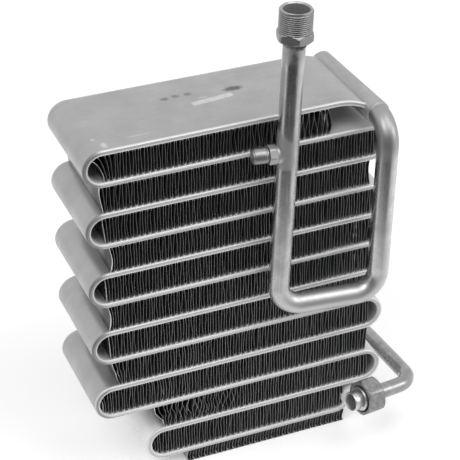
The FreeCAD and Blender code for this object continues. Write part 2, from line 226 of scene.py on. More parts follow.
pass_count = 12
pass_pitch = 0.0254
tube_thickness = 0.004
tube_depth = 0.0808
edge_radius = 0.0014
nose_hollow = 0.00018
bend_span = 0.2068
last_bend_inset = 0.0399
lowest_strip_height = 0.0105
outlet_curve = (bend_span - 0.0288, 0.045, math.radians(31))
inlet_curve = (bend_span - 0.0228, 0.0127, math.radians(50))
curve_steps = 10
bend_steps = 20
run_steps = 10
bend_radius = pass_pitch / 2
bend_inner = bend_radius - tube_thickness / 2
tube_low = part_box("serpentine_tube")[0]
core_x = tube_low.x + bend_radius + tube_thickness / 2
core_y = tube_low.y
core_top = lowest_strip_height + tube_thickness / 2 + (pass_count - 1) * pass_pitch
plate_top = core_top + tube_thickness / 2
top_pass_sag = 0.0017


def run_length(points, axis):
    """Mean distance along one direction of a grid, in metres, back round to its start."""
    step = np.diff(points, axis=axis, append=np.take(points, [0], axis))
    return np.append(0, np.cumsum(np.linalg.norm(step, axis=2).mean(1 - axis)))


def surface(name, points, wrap_rows=False, wrap_columns=True, along=None, across=None,
            crease=35, smooth_rows=None):
    """A skin over a grid of points: each point is joined to the next in its row and column.

    points is rows by columns by 3. A wrapped direction closes on itself. The mesh keeps a
    UV map of the mean distance along the rows and across the columns, in metres, unless
    other values are given. Edges sharper than the crease angle shade sharp, but not
    between the first and last smooth row.
    """
    rows, columns = points.shape[:2]
    i, j = np.meshgrid(np.arange(rows if wrap_rows else rows - 1),
                       np.arange(columns if wrap_columns else columns - 1), indexing="ij")
    i, j = i.ravel(), j.ravel()
    corner_rows = np.stack([i, i + 1, i + 1, i], 1)
    corner_columns = np.stack([j, j, j + 1, j + 1], 1)
    index = (corner_rows % rows) * columns + corner_columns % columns
    mesh = bpy.data.meshes.new(name)
    mesh.vertices.add(rows * columns)
    mesh.vertices.foreach_set("co", points.reshape(-1).astype(np.float32))
    mesh.loops.add(index.size)
    mesh.loops.foreach_set("vertex_index", index.ravel().astype(np.int32))
    mesh.polygons.add(len(index))
    mesh.polygons.foreach_set("loop_start", np.arange(len(index), dtype=np.int32) * 4)
    mesh.update(calc_edges=True)
    if along is None:
        along, across = run_length(points, 0), run_length(points, 1)
    layer = mesh.uv_layers.new(name="run_and_turn")
    uv = np.stack([along[corner_rows], across[corner_columns]], 2)
    layer.data.foreach_set("uv", uv.reshape(-1).astype(np.float32))
    work = bmesh.new()
    work.from_mesh(mesh)
    bmesh.ops.remove_doubles(work, verts=work.verts, dist=1e-7)
    bmesh.ops.recalc_face_normals(work, faces=work.faces)
    work.to_mesh(mesh)
    work.free()
    mesh.shade_smooth()
    mesh.set_sharp_from_angle(angle=math.radians(crease))
    if smooth_rows:
        ends = np.empty(len(mesh.edges) * 2, dtype=np.int32)
        mesh.edges.foreach_get("vertices", ends)
        row = ends.reshape(-1, 2) // columns
        soft = ((row >= smooth_rows[0]) & (row <= smooth_rows[1])).all(1)
        flags = mesh.attributes["sharp_edge"].data
        sharp = np.empty(len(mesh.edges), dtype=bool)
        flags.foreach_get("value", sharp)
        flags.foreach_set("value", sharp & ~soft)
    return new_object(name, mesh)


def new_piece(name, points, material, slot, *replaced, body="core", **form):
    """A skin over points, with its material, its body and the solids it stands for."""
    piece = surface(name, points, **form)
    piece.data.materials.append(material)
    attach(piece, body)
    if replaced:
        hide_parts(*replaced)
    return piece


def pass_height(number):
    """Height of the middle of a pass, counted from 1 at the top, above the floor."""
    return core_top - (number - 1) * pass_pitch


def arc_run(centre_x, centre_z, radius, start, stop, steps):
    """Points on an arc in X and Z, and the headings there: angle runs from start to stop."""
    angle = np.linspace(start, stop, steps)
    way = 1 if stop > start else -1
    place = np.stack([centre_x + radius * np.cos(angle), centre_z + radius * np.sin(angle)], 1)
    return place, np.stack([-way * np.sin(angle), way * np.cos(angle)], 1)


def tube_route():
    """Middle line of the tube in X and Z with its headings, from the outlet to the inlet.

    Straight runs are even steps, and each bend is half a circle. The two ends are arcs.
    """
    start_x, radius, swing = outlet_curve
    parts = [arc_run(start_x, core_top - radius, radius, math.pi / 2 - swing, math.pi / 2,
                     curve_steps)]
    for number in range(1, pass_count + 1):
        z = pass_height(number)
        way = -1.0 if number % 2 == 1 else 1.0
        left = last_bend_inset if number >= pass_count - 1 else 0.0
        right = {1: outlet_curve[0], pass_count: inlet_curve[0]}.get(number, bend_span)
        start, stop = (right, left) if way < 0 else (left, right)
        x = np.linspace(start, stop, run_steps + 2)[1:-1]
        parts.append((np.stack([x, np.full_like(x, z)], 1), np.tile([way, 0.0], (run_steps, 1))))
        if number < pass_count:
            parts.append(arc_run(stop, z - bend_radius, bend_radius, math.pi / 2,
                                 math.pi / 2 - way * math.pi, bend_steps))
    start_x, radius, swing = inlet_curve
    parts.append(arc_run(start_x, pass_height(pass_count) + radius, radius, -math.pi / 2,
                         -math.pi / 2 + swing, curve_steps))
    return tuple(np.concatenate(part) for part in zip(*parts))


def tube_outline():
    """Closed outline of the tube's section: depth, and offset from the middle surface.

    Each corner is a quarter circle, and each nose between two corners is a shallow hollow.
    """
    flat = tube_thickness / 2 - edge_radius
    quarter = np.linspace(0, math.pi / 2, 6)
    parts = []
    for depth, offset, turn, nose in (
            (tube_depth - edge_radius, flat, 0.0, None),
            (edge_radius, flat, math.pi / 2, nose_hollow),
            (edge_radius, -flat, math.pi, None),
            (tube_depth - edge_radius, -flat, math.pi * 1.5, tube_depth - nose_hollow)):
        parts.append(np.stack([depth + edge_radius * np.cos(quarter + turn),
                               offset + edge_radius * np.sin(quarter + turn)], 1))
        if nose:
            parts.append(np.array([[nose, 0.0]]))
        else:
            from_edge, level = parts[-1][-1]
            run = np.linspace(from_edge, tube_depth - from_edge, 6)[1:-1]
            parts.append(np.stack([run, np.full_like(run, level)], 1))
    return np.concatenate(parts)


def settle(points):
    """Lower the back of the top pass a little towards its right end, as it was bent by hand.

    The drop grows evenly with the depth and with the distance from the left bend, and
    fades out below the top pass.
    """
    x, y, z = points[..., 0] - core_x, points[..., 1] - core_y, points[..., 2]
    back = np.clip(y / tube_depth, 0, 1.1)
    right = np.clip((x + 0.02) / 0.2, 0, 1)
    upper = np.clip((z - core_top + 0.021) / 0.019, 0, 1)
    moved = points.copy()
    moved[..., 2] -= top_pass_sag * back * right * upper
    return moved


def metal_grain():
    """Node group: drawn streaks, cloudy patches and short scratches, each from 0 to 1.

    Streaks are noise on a stretched place. Clouds are noise on the place itself.
    Scratches are where two noises, stretched in different ways, are both near their peak.
    """
    group = bpy.data.node_groups.new("metal_grain", "ShaderNodeTree")
    for way, kind, names in (
            ("INPUT", "Vector", ("Vector", "Stretch")),
            ("INPUT", "Float", ("Streak Scale", "Cloud Scale")),
            ("OUTPUT", "Float", ("Streaks", "Clouds", "Scratches"))):
        for name in names:
            group.interface.new_socket(name, in_out=way, socket_type="NodeSocket" + kind)
    entry = group.nodes.new("NodeGroupInput").outputs
    place = entry["Vector"]
    squeezed = maths(group, "MULTIPLY", place, entry["Stretch"], kind="VectorMath")
    slant = add(group, "Mapping", {
        "Vector": place, "Rotation": (0.3, 0.2, 0.5), "Scale": (0.06, 1.0, 0.5)})
    patch = add(group, "TexNoise", {"Vector": place, "Scale": 60})
    line = add(group, "TexNoise", {"Vector": slant, "Scale": 900, "Detail": 0})
    set_inputs(group.nodes.new("NodeGroupOutput"), {
        "Streaks": add(group, "TexNoise", {
            "Vector": squeezed, "Scale": entry["Streak Scale"], "Detail": 4}),
        "Clouds": add(group, "TexNoise", {
            "Vector": place, "Scale": entry["Cloud Scale"], "Detail": 5, "Roughness": 0.6}),
        "Scratches": product(group, ramp(group, patch, 0.56, 0.66, "LINEAR"),
                             ramp(group, line, 0.64, 0.72, "LINEAR"))})
    return group


grain = metal_grain()


def grey(level):
    """A plain grey colour."""
    return (level, level, level, 1)


def bare_metal(name, light, dark, roughness, streaks, clouds, stretch=(1, 1, 1),
               bump=0.00001, cloud_share=0.5, rough_swing=0.12, by_run=False, scratches=0.3,
               metallic=1.0, dents=0.0):
    """Bare metal: colour and roughness drift between two values by grain and clouds.

    light and dark are grey levels. Streaks run along the axis with the small stretch.
    Scratches lighten it, and dents are shallow waves with the size of the clouds. A lower
    metallic share stands for an oxide skin.
    """
    paint, tree, shader = new_paint(name)
    pattern = add(tree, "Group", {
        "Vector": add(tree, "TexCoord").node.outputs["UV" if by_run else "Object"],
        "Streak Scale": streaks, "Cloud Scale": clouds, "Stretch": stretch},
        node_tree=grain).node.outputs
    blend = add(tree, "Mix", {
        "Factor": cloud_share, "A": pattern["Streaks"], "B": pattern["Clouds"]})
    spread = ramp(tree, blend, 0.34, 0.66, "LINEAR")
    colour = add(tree, "Mix", {"Factor": spread, "A": grey(dark), "B": grey(light)},
                 data_type="RGBA")
    marked = add(tree, "Mix", {
        "Factor": product(tree, pattern["Scratches"], scratches), "A": colour,
        "B": grey(min(0.85, light * 1.35))}, data_type="RGBA")
    rough = add(tree, "MapRange", {
        "Value": spread, "To Min": roughness + rough_swing / 2,
        "To Max": roughness - rough_swing / 2})
    normal = {}
    for height, depth in ((pattern["Clouds"], dents), (pattern["Streaks"], bump)):
        if depth:
            normal = {"Normal": add(tree, "Bump", {
                "Strength": 0.6, "Distance": depth, "Height": height, **normal})}
    set_inputs(shader, {"Base Color": marked, "Roughness": rough, "Metallic": metallic, **normal})
    return paint


def lay_over(tree, mask, level, roughness=None, metallic=None, share=None):
    """Blend a grey, and other values if given, over a material where a mask output is 1.

    A share weakens the mask.
    """
    shader = tree.nodes["Principled BSDF"]
    if share is not None:
        mask = product(tree, mask, share)
    for name, value in (("Base Color", grey(level)), ("Roughness", roughness),
                        ("Metallic", metallic)):
        if value is None:
            continue
        socket = shader.inputs[name]
        under = socket.links[0].from_socket if socket.links else socket.default_value
        mixed = add(tree, "Mix", {"Factor": mask, "A": under, "B": value},
                    data_type="RGBA" if name == "Base Color" else "FLOAT")
        set_inputs(shader, {name: mixed})


def ragged(tree, place, value, size, grain_scale, detail, start, stop):
    """An output with noise of a size added, cut to 0 below start and 1 beyond stop."""
    noise = add(tree, "TexNoise", {"Vector": place, "Scale": grain_scale, "Detail": detail})
    return ramp(tree, maths(tree, "MULTIPLY_ADD", noise, size * 2, value), start, stop)


def shifted(tree, point):
    """The place in object space, and the same less a point."""
    place = add(tree, "TexCoord").node.outputs["Object"]
    return place, maths(tree, "SUBTRACT", place, point, kind="VectorMath")


def spot_mask(tree, centre, size, rough=0.5, grain_scale=420, edge=0.6):
    """A soft-edged oval spot in object space, ragged by noise: 1 inside and 0 outside.

    Distance is the place less the centre, divided by the size on each axis. Noise is
    added to it before the edge is cut.
    """
    place, shift = shifted(tree, centre)
    shrunk = maths(tree, "DIVIDE", shift, size, kind="VectorMath")
    distance = maths(tree, "LENGTH", shrunk, kind="VectorMath")
    return ragged(tree, place, distance, rough, grain_scale, 4, 1 + rough, 1 + rough - edge)


def side_mask(tree, point, normal, soft, rough=0.0, grain_scale=220):
    """1 ahead of a plane and 0 behind it, in object space, with a soft and ragged border.

    The signed distance from the plane has noise added, and is then cut over the soft width.
    """
    place, shift = shifted(tree, point)
    ahead = maths(tree, "DOT_PRODUCT", shift, normal, kind="VectorMath")
    return ragged(tree, place, ahead, rough, grain_scale, 3, rough - soft / 2, rough + soft / 2)


def band_mask(tree, start, stop, soft):
    """1 where the UV map's second value lies between start and stop, and 0 elsewhere."""
    place = add(tree, "TexCoord").node.outputs["UV"]
    across = add(tree, "SeparateXYZ", {"Vector": place}).node.outputs["Y"]
    return product(tree, ramp(tree, across, start - soft / 2, start + soft / 2, "LINEAR"),
                   ramp(tree, across, stop + soft / 2, stop - soft / 2, "LINEAR"))


extruded = bare_metal(
    "extruded_aluminium", 0.418, 0.358, 0.34, 500, 42, (0.03, 1.0, 1.0), bump=0.000005,
    cloud_share=0.85, rough_swing=0.10, by_run=True, scratches=0.45, metallic=0.7)
tree = extruded.node_tree
# The outer millimetres of both faces are painted lighter: a painted highlight along the rounded
# edges. The noses stay duller.
edge_highlight_width = 0.0021
nose_width = 0.0006
for edge_y, outward in ((core_y, -1), (core_y + tube_depth, 1)):
    edge_highlight, nose = (
        side_mask(tree, (0, edge_y - outward * width, 0), (0, outward, 0), soft, rough)
        for width, soft, rough in ((edge_highlight_width, 0.0008, 0.0002), (nose_width, 0.0006, 0.0)))
    lay_over(tree, edge_highlight, 0.66, 0.48, 0.4, share=0.5)
    lay_over(tree, nose, 0.46, 0.42, 0.5)
# Painted shade: the front nose is darker round the left bends.
bent = side_mask(tree, (core_x - 0.003, 0, 0), (-1, 0, 0), 0.008)
shaded_front_nose = side_mask(tree, (0, core_y + 0.0010, 0), (0, -1, 0), 0.0005)
lay_over(tree, product(tree, shaded_front_nose, bent), 0.16, 0.42, 0.6, share=0.65)
# The UV map runs round the section: one face, a nose between two corners, the other face.
corner_run = math.pi / 2 * edge_radius
face_run = tube_depth - 2 * edge_radius
nose_run = tube_thickness - 2 * edge_radius
inner_left = (corner_run, corner_run + face_run)
inner_right = (3 * corner_run + face_run + nose_run, 3 * corner_run + 2 * face_run + nose_run)
# Painted highlight: both rounded corners are painted light all along the tube.
for start in (corner_run + face_run, 2 * corner_run + face_run + nose_run):
    corner_highlight = band_mask(tree, start + 0.0003, start + corner_run - 0.0003, 0.0005)
    lay_over(tree, corner_highlight, 0.85, 0.5, 0.15, share=0.45)
# Painted shade: the outer corner of the upper left bends is painted dark.
outer_corner_shade = band_mask(tree, inner_right[0] - corner_run + 0.0002, inner_right[0] + 0.0001,
                         0.0004)
upper = side_mask(tree, (0, 0, 0.098), (0, 0, 1), 0.02)
lay_over(tree, product(tree, outer_corner_shade, bent, upper), 0.10, 0.45, 0.6, share=0.8)
# Painted light: the shaded insides of the bends and the right end of the core are painted pale and
# dull.
for span, x, way, share in ((inner_left, 0.002, -1, 0.7), (inner_right, 0.172, 1, 0.6),
                            (inner_left, 0.172, 1, 1.0)):
    painted_light = product(tree, band_mask(tree, *span, 0.0004),
                   side_mask(tree, (core_x + x, 0, 0), (way, 0, 0), 0.006, 0.003),
                   side_mask(tree, (0, 0, core_top - 0.012), (0, 0, -1), 0.001))
    lay_over(tree, painted_light, 0.62, 0.5, 0.25, share=share)
# Rubbed ink, dents near the bend with their glint painted on, and faint scratches, all on the top
# of the
# first pass: place and half size in mm from the core's corner, grey and share.
for x, y, wide, deep, level, share in (
        (65.5, 53.5, 4.2, 3.2, 0.10, 0.6), (74.5, 54.5, 4.0, 3.4, 0.10, 0.5),
        (83.5, 54.5, 4.2, 3.2, 0.10, 0.55), (117.5, 50.0, 9.8, 4.4, 0.06, 0.8),
        (4.0, 8.0, 3.0, 5.0, 0.70, 0.6), (-1.0, 18.0, 2.0, 3.0, 0.70, 0.4),
        (30.0, 12.0, 13.0, 0.8, 0.66, 0.5), (92.0, 46.0, 6.0, 1.0, 0.66, 0.5)):
    spot = spot_mask(tree, (core_x + x / 1000, core_y + y / 1000, plate_top - 0.0005),
                     (wide / 1000, deep / 1000, 0.004))
    lay_over(tree, spot, level, share=share)
# The underside of the lowest left bends is bright with the floor's light.
floor_lit = product(tree, band_mask(tree, *inner_right, 0.0004),
                    side_mask(tree, (0, 0, 0.050), (0, 0, -1), 0.02, 0.002),
                    side_mask(tree, (core_x + 0.040, 0, 0), (-1, 0, 0), 0.01, 0.002))
lay_over(tree, floor_lit, 0.85, 0.5, 0.2, share=0.85)

route, route_heading = tube_route()
outline = tube_outline()
side = np.stack([-route_heading[:, 1], route_heading[:, 0]], 1)
tube_points = np.empty((len(route) + 2, len(outline), 3))
tube_points[1:-1, :, 0] = core_x + route[:, None, 0] + side[:, None, 0] * outline[None, :, 1]
tube_points[1:-1, :, 1] = core_y + outline[None, :, 0]
tube_points[1:-1, :, 2] = route[:, None, 1] + side[:, None, 1] * outline[None, :, 1]
tube_points[0] = tube_points[1].mean(0)
tube_points[-1] = tube_points[-2].mean(0)
new_piece("flat_tube", settle(tube_points), extruded, "tube", "serpentine_tube")


# Label.
# A small paper label on the top of the first pass, left blank. Its edges are pressed down
# on the metal, and handling has greyed it.

label_centre = (0.0976, 0.0407)
label_length = 0.0340
label_width = 0.0060
label_turn = math.radians(6.4)
label_lift = 0.00012


def label_grid(rows=28, columns=10):
    """A sheet with rounded corners on the pass: its lift is a steep curve near its border."""
    u, v = np.meshgrid(np.linspace(-1, 1, rows), np.linspace(-1, 1, columns), indexing="ij")
    x = u * label_length / 2 * (1 - 0.012 * v ** 6)
    y = v * label_width / 2 * (1 - 0.05 * np.abs(u) ** 8 * np.abs(v) ** 2)
    lift = label_lift * (1 - np.maximum(np.abs(u), np.abs(v)) ** 16 * 1.6)
    cosine, sine = math.cos(label_turn), math.sin(label_turn)
    return np.stack([core_x + label_centre[0] + x * cosine - y * sine,
                     core_y + label_centre[1] + x * sine + y * cosine, plate_top + lift], 2)


label_paper = bare_metal(
    "label_paper", 0.64, 0.50, 0.7, 300, 260, bump=0.00002, cloud_share=0.8, scratches=0.0,
    metallic=0.0)
new_piece("blank_label", settle(label_grid()), label_paper, None, wrap_columns=False)


# Fin strips.
# Aluminium foil folded into a long zigzag with rounded crests and brazed between the
# passes. Handling has pushed many of the front edges out of line, and crushed some.

foil_thickness = 0.00014
wall_spacing = 0.0022
lowest_wall_spacing = 0.00237
fin_setback = 0.0013
left_offsets = [0.1, -1.4, -0.6, 2.8, -1.3, -0.1, -0.4, 2.5, -8.8, -3.1, -10.3, 18.2]
right_offsets = [-32.3, 1.4, 0.1, 0.8, 3.2, 1.2, 1.7, 2.8, 1.2, 3.1, -17.2, -15.9]
# Crushed places of a strip: middle, half width (mm along X) and strength.
crushed = {1: [(62, 22, 0.8), (112, 22, 2.2), (164, 12, 3.0)], 2: [(8, 10, 0.8)],
           3: [(204, 6, 1.6)], 5: [(202, 9, 2.2)], 6: [(60, 30, 0.6)], 7: [(204, 6, 1.4)],
           8: [(6, 8, 1.5)], 9: [(30, 26, 1.2)], 10: [(48, 18, 3.4)], 11: [(90, 30, 0.6)]}
# Where a strip is folded into sharp V shapes: first and last x in mm, and strength.
pinched = {1: (136, 180, 0.8), 10: (36, 66, 0.5)}
# Where the front of a strip is crumpled: first and last x in mm, and the size of the ripple.
crumpled = {8: (0, 18, 0.0004), 10: (30, 104, 0.0009)}
# End walls: how far bottom, middle and top stand from the strip's end, along X in mm.
left_ends = {1: (1.2, -1.5, -8.0), 2: (0.9, -0.5, -1.7), 3: (0.5, -0.8, -1.6),
             4: (0.0, 1.4, -0.9), 5: (0.3, -0.3, -0.8), 6: (0.0, 1.3, -1.0),
             7: (0.2, -0.4, -1.2), 8: (3.6, -0.3, -2.8), 9: (0.6, -0.3, -1.4),
             10: (4.0, -1.2, -5.4), 11: (0.4, -0.4, -1.0)}
right_ends = {1: (-3.0, -0.1, -2.9), 3: (0.0, -1.9, -1.2), 5: (0.0, 0.8, 0.6),
              7: (0.0, -0.4, 0.4), 9: (0.0, 0.4, 1.6), 11: (0.0, 0.5, 0.5)}
# Painted highlights on walls that were knocked flat: x and z in mm from the core's corner and the
# top pass, half width and half height, and strength.
painted_glints = (
    (168.7, -9.5, 1.3, 4.0, 0.9), (171.2, -15.0, 0.9, 3.5, 0.8), (166.0, -13.0, 0.7, 4.0, 0.5),
    (196.8, -108.0, 2.2, 5.0, 0.6), (196.0, -117.0, 2.4, 3.0, 0.7),
    (197.2, -137.0, 2.6, 4.0, 0.6), (59.6, -241.0, 1.6, 4.5, 0.8), (52.0, -243.0, 1.2, 3.0, 0.4),
    (39.7, -218.0, 0.8, 3.0, 0.5), (5.0, -191.0, 1.6, 4.0, 0.7), (106.7, -12.0, 1.0, 3.0, 0.5),
    (118.0, -9.0, 0.9, 3.0, 0.4), (46.6, -201.0, 0.8, 2.5, 0.4))
# A wall's profile: its shares of the spacing and of the height, point by point.
fold_along = np.array([0.0, 0.16, 0.31, 0.41, 0.44, 0.47, 0.50, 0.53, 0.56, 0.59, 0.69, 0.84])
fold_rise = np.array([0.0, 0.006, 0.022, 0.055, 0.15, 0.32, 0.50, 0.68, 0.85, 0.945, 0.978, 0.994])
lowest_rise = np.array([0.0, 0.0, 0.002, 0.02, 0.12, 0.32, 0.5, 0.68, 0.88, 0.98, 0.998, 1.0])
fold_depths = np.array([0, 0.5, 1.2, 2.4, 4.5, 8.0, 16.0, 40.0, 62.0, 72.0, 76.5, 78.2]) / 1000
dice = np.random.default_rng(12)


def foil_finish():
    """Foil metal: painted shade deep in the strip, and painted highlights at the crests and front
    edges.

    The UV map holds the share of the height, with 2 added on a strip's end walls, and the
    distance from the front edge. The crest mask is the height's distance from the middle,
    and the front mask fades inwards. The end walls get painted shade, with a painted
    highlight at their front edge and lighter paint further back.
    """
    paint = bare_metal("fin_foil", 0.47, 0.31, 0.42, 300, 1500, (1.0, 0.1, 1.0),
                       bump=0.00002, scratches=0.0)
    tree = paint.node_tree
    place = add(tree, "SeparateXYZ", {"Vector": add(tree, "TexCoord").node.outputs["UV"]})
    height, depth = place.node.outputs["X"], place.node.outputs["Y"]
    middle = maths(tree, "ABSOLUTE", maths(tree, "SUBTRACT", height, 0.5))
    crest = ramp(tree, middle, 0.40, 0.49)
    end = ramp(tree, height, 1.2, 1.8, "LINEAR")
    # Painted shade: the foil darkens deep in the strip.
    lay_over(tree, ramp(tree, depth, 0.001, 0.012), 0.16, 0.6, share=0.75)
    # Painted highlight: the crests are lighter.
    lay_over(tree, crest, 0.62, 0.35, share=0.85)
    # Painted highlights: beads of light where the crests meet the front edge.
    edge = ramp(tree, depth, 0.0030, 0.0012, "LINEAR")
    lay_over(tree, product(tree, crest, edge), 0.85, 0.4, 0.5, share=0.7)
    # Painted light and shade on an end wall: a painted highlight at its cut front edge, then
    # painted shade, then lighter paint again behind.
    lay_over(tree, end, 0.13, 0.5)
    for start, stop, level in ((0.012, 0.034, 0.45), (0.0022, 0.0010, 0.80)):
        lay_over(tree, product(tree, end, ramp(tree, depth, start, stop)), level, 0.4)
    # Painted highlights on the knocked-flat walls.
    for x, z, wide, tall, share in painted_glints:
        spot = spot_mask(tree, (core_x + x / 1000, core_y + fin_setback, core_top + z / 1000),
                         (wide / 1000, 0.006, tall / 1000), 0.6, 500)
        lay_over(tree, spot, 0.85, 0.4, 0.6, share=share)
    return paint


fin_foil = foil_finish()


def strip_edges(number, x):
    """Lower and upper surface that a strip touches at x: straight, or the inside of a bend."""
    if number == pass_count:
        return np.full_like(x, foil_thickness), np.full_like(x, lowest_strip_height)
    middle = pass_height(number) - bend_radius
    centre = last_bend_inset if number == pass_count - 1 else 0.0
    past = np.clip(centre - x if number % 2 == 1 else x - bend_span, 0, bend_inner * 0.98)
    half = np.sqrt(bend_inner ** 2 - past ** 2)
    return middle - half, middle + half


def drift(count, spacing):
    """Smooth random values, about -1 to 1: random knots joined by straight lines."""
    knots = dice.normal(0, 0.6, count // spacing + 3)
    return np.interp(np.arange(count) / spacing, np.arange(len(knots)), knots)


def folded_strip(number):
    """A strip's sheet: a zigzag profile carried along the depth, and its height shares.

    Each wall is a steep line between two rounded crests. It bows by a half sine and
    ripples by a whole sine of its height, by random amounts that grow at the front edge
    and in crushed places. The end walls lean and bow out by their own amounts.
    """
    lowest = number == pass_count
    line = last_bend_inset if number >= pass_count - 2 else 0.0
    start = line + left_offsets[number - 1] / 1000
    stop = bend_span + right_offsets[number - 1] / 1000
    walls = round((stop - start) / (lowest_wall_spacing if lowest else wall_spacing)) + 1
    step = (stop - start) / (walls - 1)
    wall = np.repeat(np.arange(walls), len(fold_along))
    crest = start - step / 2 + np.arange(walls + 1) * step
    crest[1:-1] += dice.normal(0, 0.015 if lowest else 0.10, walls - 1) * step
    flat_x = crest[wall] + (crest[wall + 1] - crest[wall]) * np.tile(fold_along, walls)
    share = np.tile(lowest_rise if lowest else fold_rise, walls)
    share[[3, -3]] = (0.0, 1.0)
    share = np.where(wall % 2 == 0, share, 1 - share)
    wall, flat_x, share = wall[3:-2], flat_x[3:-2], share[3:-2]
    lean_way = np.where(wall % 2 == 0, 1, -1)
    depth = fold_depths * (tube_depth - 2 * fin_setback) / fold_depths[-1]
    front = np.exp(-depth / 0.004) + 0.5 * np.exp(-(depth[-1] - depth) / 0.004)
    bow = np.sin(np.pi * share)
    wave = np.sin(2 * np.pi * share)
    x = crest[:-1] * 1000
    harm = np.full(walls, 1.0)
    for middle, half, strength in crushed.get(number, ()):
        harm += strength * np.exp(-((x - middle) / half) ** 2)
    together = drift(walls, 7) * 0.00042 + drift(walls, 3) * 0.0002
    alone = np.clip(dice.normal(0, 0.00013, walls) * harm, -0.0008, 0.0008)
    twist = np.clip(dice.normal(0, 0.00011, walls) * harm, -0.0005, 0.0005)
    shape = (bow * (together + alone)[wall] + wave * twist[wall])[:, None]
    offset = shape * (0.35 + 0.9 * front)[None, :]
    offset = offset + (bow * dice.normal(0, 0.00008, walls)[wall])[:, None] * np.sin(
        depth / 0.011 + dice.uniform(0, 6, walls)[wall][:, None])
    for bends, order in ((left_ends, wall), (right_ends, walls - 1 - wall)):
        foot, middle, top = bends.get(number, (0, 0, 0))
        reach = np.array([1.0, 0.65, 0.35, 0.15, 0.0])[np.minimum(order, 4)]
        lean = (foot * (1 - share) * (1 - 2 * share) + 4 * middle * share * (1 - share)
                + top * share * (2 * share - 1)) / 1000
        offset = offset + (reach * lean)[:, None]
    if number in pinched:
        first, last, strength = pinched[number]
        here = np.clip((x - first) / 6, 0, 1) * np.clip((last - x) / 6, 0, 1) * strength
        here = here * dice.uniform(0.55, 1.25, walls)
        slant = lean_way * here[wall] * (share - 0.5) * step
        offset = offset + slant[:, None] * np.exp(-depth / 0.03)[None, :]
    if number in crumpled:
        first, last, size = crumpled[number]
        here = np.clip((x - first + 4) / 4, 0, 1) * np.clip((last - x) / 12, 0, 1) * size
        turn = drift(walls, 2) * 1.5
        ripple = np.sin(2 * np.pi * (1.6 * share + turn[wall])) * bow ** 0.5
        offset = offset + (here[wall] * ripple)[:, None] * np.exp(-depth / 0.007)[None, :]
    if lowest:
        spread = lean_way * 0.58 * step * np.clip(1 - share / 0.11, 0, 1)
        jog = 0.4 * step * np.clip((share - 0.5) / 0.5, 0, 1)
        offset = offset * 0.4 + spread[:, None] + jog[:, None] * np.exp(-depth / 0.006)[None, :]
    across = flat_x[:, None] + offset
    low, high = strip_edges(number, across)
    crush = (bow * np.abs(alone)[wall] * 1.1)[:, None] * np.exp(-depth / 0.003)[None, :]
    points = np.stack([core_x + across, core_y + fin_setback + depth[None, :] + crush,
                       low + (high - low) * share[:, None]], 2)
    shown = 0.12 + 0.83 * share if lowest else share + 2.0 * (wall == 0)
    return points, shown, depth


for number in range(1, pass_count + 1):
    points, share, depth = folded_strip(number)
    strip = new_piece("folded_fins_%02d" % number, settle(points), fin_foil, "fins",
                      "fin_strip_%02d" % number, wrap_columns=False, crease=70,
                      along=np.append(share, 0), across=np.append(depth, 0))
    skin = strip.modifiers.new("foil", "SOLIDIFY")
    skin.thickness = foil_thickness
    skin.offset = 0


# Headers.
# A round aluminium tube closes each end of the flat tube, with a disc brazed in as a plug.
# Each is slotted lengthwise for the flat tube, with a bead of braze along the slot.

header_radius = 0.009
header_wall = 0.00095
header_overhang = 0.0048
header_back_shift = 0.0031
plug_thickness = 0.003
bead_radius = 0.0008
bead_seat = 0.00915
face_offset = 0.0021
round_steps = 64


def frame_about(axis):
    """An axis as a unit vector, and two more square to it and to each other."""
    axis = np.asarray(axis, float)
    axis = axis / np.linalg.norm(axis)
    helper = np.array([0.0, 0.0, 1.0]) if abs(axis[2]) < 0.9 else np.array([1.0, 0.0, 0.0])
    first = np.cross(helper, axis)
    first /= np.linalg.norm(first)
    return axis, first, np.cross(axis, first)


def angles(steps):
    """Even angles once round, from 0."""
    return np.arange(steps) * 2 * math.pi / steps


def turned(rows, base, axis, turn=0.0, steps=round_steps):
    """Grid of a turned shape: each row is a circle's radius and its height along an axis.

    Either can be an array with one value a column, for a shape that isn't round.
    """
    axis, first, second = frame_about(axis)
    angle = angles(steps) + turn
    radii, heights = (np.array([np.broadcast_to(value, steps) for value in part])
                      for part in zip(*rows))
    ring = np.cos(angle)[:, None] * first + np.sin(angle)[:, None] * second
    return (np.asarray(base, float) + heights[..., None] * axis
            + radii[..., None] * ring[None, :, :])


def eased(profile, radius=0.0003, steps=3):
    """A profile of (radius, height) points with each inner corner rounded by an arc.

    Each corner point gives way to a curve between two points a little before and after it.
    """
    profile = np.asarray(profile, float)
    t = np.linspace(0, 1, steps + 1)[:, None]
    rows = [profile[:1]]
    for before, corner, after in zip(profile[:-2], profile[1:-1], profile[2:]):
        first, last = (
            corner + (end - corner) / max(np.linalg.norm(end - corner), 1e-9)
            * min(radius, np.linalg.norm(end - corner) * 0.45) for end in (before, after))
        rows.append((1 - t) ** 2 * first + 2 * t * (1 - t) * corner + t ** 2 * last)
    rows.append(profile[-1:])
    return np.concatenate(rows)


header_metal = bare_metal(
    "header_metal", 0.42, 0.33, 0.44, 200, 90, (1.0, 0.08, 1.0), metallic=0.6, dents=0.00006)
# The lower header's metal is whitened by flux and painted lighter still: painted light where it
# sits in shade below the core.
flux_and_painted_light_metal = bare_metal(
    "flux_and_painted_light_metal", 0.85, 0.66, 0.5, 200, 160, (1.0, 0.08, 1.0), metallic=0.2, dents=0.00006)
braze_metal = bare_metal("braze_metal", 0.60, 0.34, 0.44, 400, 500, bump=0.00006, metallic=0.7)


def lumps(count, waves, seed):
    """Smooth lumpy values about 0 round a ring: sines of a few counts with random phases."""
    roll = np.random.default_rng(seed)
    return sum(roll.normal(0, 1) / math.sqrt(k) * np.sin(k * angles(count) + roll.uniform(0, 6.3))
               for k in waves)


